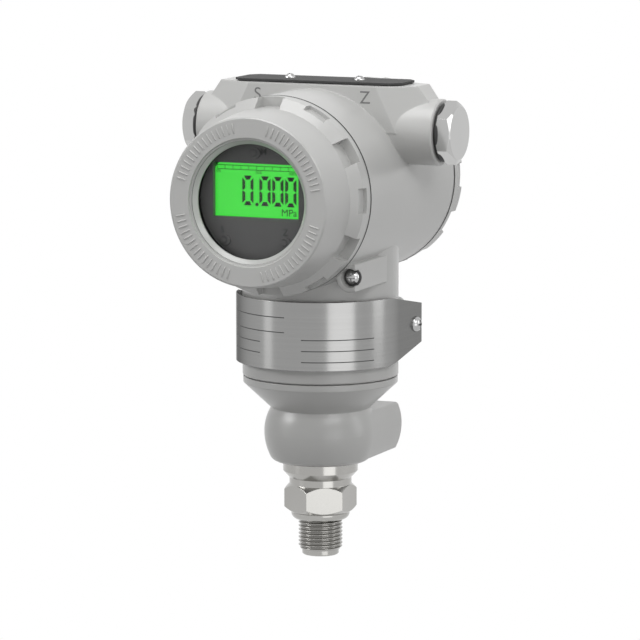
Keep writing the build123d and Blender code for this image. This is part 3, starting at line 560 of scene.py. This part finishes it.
# the liquid crystal's picture: shares of the window's width and height, from its top left corner; a word
# is its text, its size in mm and its lower left corner
lcdPicture = {"left": -21.1, "top": 176.6, "width": 42.2, "height": 24.8, "lift": 0.06,
              "digitTop": 0.236, "digitBottom": 0.785, "digitLefts": (0.318, 0.520, 0.672, 0.824),
              "digitWidth": 0.130, "bar": ((0.0205, 0), (0.043, 0.044)),
              "post": ((-0.001, 0.0225), (0.034, 0.0583), (0.034, -0.024), (0.012, -0.004),
                       (-0.001, -0.006)),
              "dotX": 0.490, "dotY": 0.762, "dotSize": 0.020, "dotCorners": 20,
              "barTop": 0.055, "barBottom": 0.130, "barLeft": 0.020, "barRight": 0.955, "barBoxes": 10,
              "barLine": 0.006, "wordThick": 0.02,
              "words": (("0%", 1.9, 0.012, 0.195), ("50%", 1.9, 0.475, 0.195),
                        ("100%", 1.9, 0.860, 0.195), ("MPa", 4.6, 0.775, 0.955))}


def shapeTurn(corners):
    # twice the area inside the corners, above zero where they go round anticlockwise
    x, z = corners[:, 0], corners[:, 1]
    return np.sum(x * np.roll(z, -1) - np.roll(x, -1) * z)


def flatShapes(shapes, depth):
    # each shape is an array of (x, z) corners in mm; all become faces on the plane y = depth that face
    # the viewer
    shapes = [np.asarray(shape, float) for shape in shapes]
    shapes = [shape if shapeTurn(shape) > 0 else shape[::-1] for shape in shapes]
    corners = np.vstack(shapes)
    ends = np.cumsum([len(shape) for shape in shapes])
    points = np.stack([corners[:, 0], np.full(len(corners), depth), corners[:, 1]], axis=-1)
    return points, [part.tolist() for part in np.split(np.arange(len(corners)), ends[:-1])]


def rectangle(left, bottom, right, top):
    return [(left, bottom), (right, bottom), (right, top), (left, top)]


def segmentShapes(p, left, top, width, height):
    # a seven segment nought without its middle bar: one bar and one post, mirrored both ways; the post's
    # corners with a negative share hang from the digit's middle, the others from its top
    bar = np.array(p["bar"]) * p["width"]
    bar = np.array([bar[0], (width - bar[0][0], 0), (width - bar[1][0], bar[1][1]), bar[1]]) * (1, -1)
    post = np.array(p["post"]) * p["width"]
    post[:, 1] = np.where(post[:, 1] < 0, -height / 2 - post[:, 1], -post[:, 1])
    mirrorX, mirrorZ = np.array([-1, 1]), np.array([1, -1])
    acrossX, acrossZ = np.array([width, 0]), np.array([0, -height])
    shapes = [bar, bar * mirrorZ + acrossZ]
    for shape in (post, post * mirrorX + acrossX):
        shapes += [shape, shape * mirrorZ + acrossZ]
    return [shape + np.array([left, top]) for shape in shapes]


def letterShapes(text, size, place, depth, name, finishName, body, thick=0.04, bold=0.0):
    # a plain word as a thin mesh on a plane facing the viewer, its lower left corner at place
    data = bpy.data.curves.new(name, "FONT")
    data.body = text
    data.size = size
    data.extrude = thick / 2
    data.offset = bold
    curve = bpy.data.objects.new(name, data)
    mesh = bpy.data.meshes.new_from_object(curve)
    bpy.data.objects.remove(curve)
    upright = Matrix.Rotation(math.radians(90), 4, "X")
    mesh.transform(Matrix.Scale(mm, 4) @ Matrix.Translation((place[0], depth, place[1])) @ upright)
    mesh.name = name
    return placePiece(name, mesh, finishName, body)


def makeLcdPicture():
    p = lcdPicture
    depth = frontOf("lcd_panel") - p["lift"]
    wide, tall = p["width"], p["height"]

    def at(across, down):
        return p["left"] + across * wide, p["top"] - down * tall

    shapes = []
    digitHeight = (p["digitBottom"] - p["digitTop"]) * tall
    for share in p["digitLefts"]:
        shapes += segmentShapes(p, *at(share, p["digitTop"]), p["digitWidth"] * wide, digitHeight)
    turn = np.arange(p["dotCorners"]) / p["dotCorners"] * fullTurn
    dot = np.stack([np.cos(turn), np.sin(turn)], axis=-1) * p["dotSize"] * wide
    shapes.append(dot + np.array(at(p["dotX"], p["dotY"])))
    half = p["barLine"] * wide / 2
    left, top = at(p["barLeft"], p["barTop"])
    right, bottom = at(p["barRight"], p["barBottom"])
    shapes += [rectangle(left, z - half, right, z + half) for z in (top, bottom)]
    shapes += [rectangle(x - half, bottom, x + half, top)
               for x in np.linspace(left, right, p["barBoxes"] + 1)]
    points, faces = flatShapes(shapes, depth)
    addPiece("lcdSegments", points, faces, "lcdInk", "head")
    for index, (text, size, across, down) in enumerate(p["words"]):
        letterShapes(text, size, at(across, down), depth, "lcdWord%d" % index, "lcdInk", "head",
                     p["wordThick"])


makeLcdPicture()

# letters beside the keys and over the zero and span entries
keyMarks = {"size": 4.3, "lift": 0.03, "bold": 0.03,
            "places": (("M", 2.35, 180.8), ("S", -17.6, 144.4), ("Z", 13.4, 144.4))}
roofMarks = {"size": 8.4, "lift": 0.03, "frontFace": -10.8,
             "places": (("S", -29.4, 199.6), ("Z", 24.3, 199.6))}


def makeMarks():
    for letter, x, z in keyMarks["places"]:
        letterShapes(letter, keyMarks["size"], (x, z), frontOf("display_bezel") - keyMarks["lift"],
                     "keyLetter" + letter, "keyPrintAndShadow", "head", bold=keyMarks["bold"])
    for letter, x, z in roofMarks["places"]:
        letterShapes(letter, roofMarks["size"], (x, z), roofMarks["frontFace"] - roofMarks["lift"],
                     "roofLetter" + letter, "engravedShade", "head")


makeMarks()

# painted shadow of each key's rim: a dark crescent on the cap, open to the left
keyRimShadow = {"radius": 1.75, "inner": 1.25, "span": 125, "aside": -0.9, "lift": 0.02, "steps": 32}


def makeKeyRimShadows():
    # a flat strip between two arcs, (r cos a, r sin a), with r the outer and the inner radius and a from
    # -span to span
    k = keyRimShadow
    a = np.radians(np.linspace(-k["span"], k["span"], k["steps"]))
    radius = np.repeat([k["radius"], k["inner"]], k["steps"])
    x, z = radius * np.cos(np.tile(a, 2)), radius * np.sin(np.tile(a, 2))
    faces = gridFaces(2, k["steps"], False)
    for name in ("mode_key", "span_key", "zero_key"):
        middle = middleOf(name)
        face = np.full(len(x), frontOf(name) - k["lift"])
        points = np.stack([middle[0] + k["aside"] + x, face, middle[2] + z], axis=-1)
        addPiece(name + "RimShadow", points, faces, "keyPrintAndShadow", name)


makeKeyRimShadows()
print("stage: display picture and letters")

ringMesh = {"around": 160, "sharp": 30}


def ringPiece(name, profile, finishName, body):
    # closed ring about the covers' axis: x = r cos(a), y = h, z = axis height + r sin(a) for each (r, h)
    # of the profile
    corners = np.asarray(profile, float)
    angle = np.arange(ringMesh["around"]) / ringMesh["around"] * fullTurn
    x = corners[:, :1] * np.cos(angle)
    z = corners[:, :1] * np.sin(angle) + shared["axisHeight"]
    y = np.broadcast_to(corners[:, 1:], x.shape)
    points = np.stack([x, y, z], axis=-1).reshape(-1, 3)
    faces = gridFaces(len(corners), ringMesh["around"], True, True)
    piece = addPiece(name, points, faces, finishName, body, ringMesh["sharp"])
    editMesh(piece.data, turnOutward)


# painted shadow: the flat lip of each cover's seal is drawn out to the outer surface as a dark line that
# stands in for the seam's shadow; a bead closes its outer edge
seamShadowLip = {"inner": 43.7, "outer": 46.15, "half": 0.185, "bead": 0.6, "beadFoot": 0.2, "corner": 0.03,
           "flat": 0.6, "ends": (("front", -49.05), ("rear", 55.5))}


def makeSeamShadowLips():
    s = seamShadowLip
    side = [(s["inner"], s["half"]), (s["outer"] - s["beadFoot"], s["half"]),
            (s["outer"] - s["corner"], s["bead"]), (s["outer"], s["bead"] * s["flat"])]
    for end, middle in s["ends"]:
        profile = [(r, middle - h) for r, h in side] + [(r, middle + h) for r, h in reversed(side)]
        ringPiece(end + "SeamShadowLip", profile, "sealRubber", end + "_seal")


makeSeamShadowLips()
print("stage: seam lips")

# blank ruled fields on the name band, as thin ink lines on its round front; a line is its first and last
# angle from the front in degrees and its height above the band's middle
bandFields = {"radius": 39.9, "lift": 0.03, "thick": 0.45, "middle": 92.6, "steps": 40, "sharp": 40,
              "lines": ((-58, -2, 8.6), (-58, -2, 1.6), (-58, -22, -3.6), (-58, -22, -8.8),
                        (10, 62, -1.6), (10, 62, -6.8), (10, 62, -12.0))}


def makeBandFields():
    # two rows a line: (r sin a, -r cos a, z), with z half a thickness below and above the line's height
    b = bandFields
    first, last, height = np.array(b["lines"], float).T
    angle = np.radians(np.linspace(first, last, b["steps"], axis=1))[:, None]
    radius = b["radius"] + b["lift"]
    edges = b["middle"] + height[:, None] + np.array([-b["thick"], b["thick"]]) / 2
    x, y, z = np.broadcast_arrays(radius * np.sin(angle), -radius * np.cos(angle), edges[:, :, None])
    points = np.stack([x, y, z], axis=-1).reshape(-1, 3)
    starts = np.arange(len(height)) * 2 * b["steps"]
    faces = np.array(gridFaces(2, b["steps"], False)) + starts[:, None, None]
    addPiece("bandRuling", points, faces.reshape(-1, 4).tolist(), "bandInk", "head",
             b["sharp"])


makeBandFields()
print("stage: name band")

# painted shade: thin dark bands on the walls of the window mouth's two steps, where the steps lie in
# shade: radius, and depth from and to
mouthShadeBands = {"wall": 0.06, "sunk": 0.02, "bands": ((29.6, 0.30, 1.13), (28.4, 1.22, 1.64))}


def makeMouthShadeBands():
    m = mouthShadeBands
    for index, (radius, first, last) in enumerate(m["bands"]):
        profile = rectangle(radius + m["sunk"], shared["ringFace"] + first,
                            radius - m["wall"], shared["ringFace"] + last)
        ringPiece("mouthShadeBand%d" % index, profile, "mouthShade", "front_cap")


makeMouthShadeBands()

# plain raised ticks on the window ring, in four groups; the ring's face stands back by their height
ringTicks = {"inner": 31.9, "outer": 36.6, "width": 0.75, "height": 0.35, "sunk": 0.05, "shoulder": 0.6,
             "shoulderIn": 0.06, "bevel": 0.22, "step": 4.4, "sharp": 50,
             "groups": ((12, 78), (102, 168), (192, 258), (282, 348))}


def makeRingTicks():
    # one low bar: three levels of four corners, each level narrower than the one below; then the same
    # bar turned by every angle of the groups: x = along cos a - across sin a, z = along sin a + across
    # cos a
    r = ringTicks
    angle = np.radians(np.concatenate([np.arange(*group, r["step"]) for group in r["groups"]]))
    lift = np.array([-r["sunk"], r["height"] * r["shoulder"], r["height"]])
    shrink = np.array([0.0, r["shoulderIn"], r["bevel"]])[:, None]
    side, end = np.array([-1, -1, 1, 1]), np.array([0, 1, 1, 0])
    along = np.where(end, r["outer"] - shrink, r["inner"] + shrink).ravel()
    across = (side * (r["width"] / 2 - shrink)).ravel()
    cos, sin = np.cos(angle)[:, None], np.sin(angle)[:, None]
    x = along * cos - across * sin
    z = along * sin + across * cos + shared["axisHeight"]
    y = np.broadcast_to(shared["ringFace"] - np.repeat(lift, len(side)), x.shape)
    caps = [[8, 9, 10, 11], [3, 2, 1, 0]]  # the bar's top and its base
    bar = np.array(gridFaces(len(lift), len(side), True) + caps)
    faces = (bar + len(along) * np.arange(len(angle))[:, None, None]).reshape(-1, 4).tolist()
    points = np.stack([x, y, z], axis=-1).reshape(-1, 3)
    ticks = addPiece("ringTicks", points, faces, "coverPaint", "front_cap", r["sharp"])
    editMesh(ticks.data, turnOutward)


def setFaceBack(corners):
    # no corner of the cover stays in front of the ring face
    corners[:, 1] = np.maximum(corners[:, 1], shared["ringFace"])
    return corners


makeRingTicks()
copyNode("front_cover", "frontCoverFace", setFaceBack, "front_cap")
print("stage: window ring")

# studio, in metres: soft boxes that give the metal its upright streaks, fills that only lift the shade
# and leave no reflection, a white surround, and a floor well below
studio = {"distance": 1.3, "aimHeight": 0.1, "seen": grey(1.0), "light": grey(0.07)}
softBoxes = {
    "rightLow": {"azimuth": 51, "elevation": -3, "size": (0.86, 0.65), "level": 1.25},
    "rightHigh": {"azimuth": 55, "elevation": 35, "size": (0.75, 0.35), "level": 4.6},
    "rightRim": {"azimuth": 108, "elevation": 12, "size": (0.45, 0.9), "level": 1.9},
    "leftLow": {"azimuth": -52, "elevation": 2, "size": (0.30, 0.60), "level": 0.9},
    "leftHigh": {"azimuth": -57, "elevation": 27, "size": (0.55, 0.35), "level": 8.0},
    "topBox": {"azimuth": -5, "elevation": 72, "size": (1.0, 0.8), "level": 4.2},
}
fillBoxes = {
    "frontLow": {"azimuth": -5, "elevation": -6, "size": (1.1, 0.35), "level": 0.6},
    "backHigh": {"azimuth": 165, "elevation": 38, "size": (1.2, 0.8), "level": 1.0},
    "backLeft": {"azimuth": -150, "elevation": 8, "size": (1.2, 1.0), "level": 0.9},
    "backRight": {"azimuth": 165, "elevation": -8, "size": (0.8, 0.8), "level": 0.4},
}


def addSoftBoxes(boxes, mirrored):
    for name, box in boxes.items():
        data = bpy.data.lights.new(name, "AREA")
        data.shape = "RECTANGLE"
        data.size, data.size_y = box["size"]
        data.energy = box["level"] * math.pi * data.size * data.size_y
        away = compass(box["azimuth"], box["elevation"])
        lamp = addObject(name, data)
        lamp.location = Vector((0, 0, studio["aimHeight"])) + away * studio["distance"]
        lamp.rotation_euler = away.to_track_quat("Z", "Y").to_euler()
        lamp.visible_glossy = mirrored


def seenShare(tree):
    # 1 for camera, glossy and transmission rays, which see the white surround; 0 for diffuse rays, which
    # see the lighting level
    paths = tree.nodes.new("ShaderNodeLightPath").outputs
    seen = mathNode(tree, "ADD", paths["Is Camera Ray"], paths["Is Glossy Ray"])
    return mathNode(tree, "MINIMUM", mathNode(tree, "ADD", seen, paths["Is Transmission Ray"]), 1.0)


def addSurround():
    world = bpy.data.worlds.new("studioWorld")
    world.use_nodes = True
    tree = world.node_tree
    colour = mixColours(tree, seenShare(tree), studio["light"], studio["seen"])
    tree.links.new(colour, tree.nodes["Background"].inputs["Color"])
    bpy.context.scene.world = world


floorSheet = {"half": 3.0, "height": -0.30, "shade": 0.3, "roughness": 0.9}


def addFloor():
    f = floorSheet
    mesh = bpy.data.meshes.new("studioFloor")
    corners = [(x, y, f["height"]) for x, y in rectangle(-f["half"], -f["half"], f["half"], f["half"])]
    mesh.from_pydata(corners, [], [(0, 1, 2, 3)])
    material = bpy.data.materials.new("floorWhite")
    material.use_nodes = True
    tree = material.node_tree
    surface = tree.nodes["Principled BSDF"]
    surface.inputs["Base Color"].default_value = (*grey(f["shade"]), 1)
    surface.inputs["Roughness"].default_value = f["roughness"]
    emission = tree.nodes.new("ShaderNodeEmission")
    emission.inputs["Strength"].default_value = 1.0
    mix = tree.nodes.new("ShaderNodeMixShader")
    tree.links.new(seenShare(tree), mix.inputs[0])
    tree.links.new(surface.outputs[0], mix.inputs[1])
    tree.links.new(emission.outputs[0], mix.inputs[2])
    tree.links.new(mix.outputs[0], tree.nodes["Material Output"].inputs["Surface"])
    mesh.materials.append(material)
    floor = addObject("studioFloor", mesh)


addSoftBoxes(softBoxes, True)
addSoftBoxes(fillBoxes, False)
addSurround()
addFloor()
bpy.context.scene.view_settings.view_transform = "Standard"
print("stage: studio")
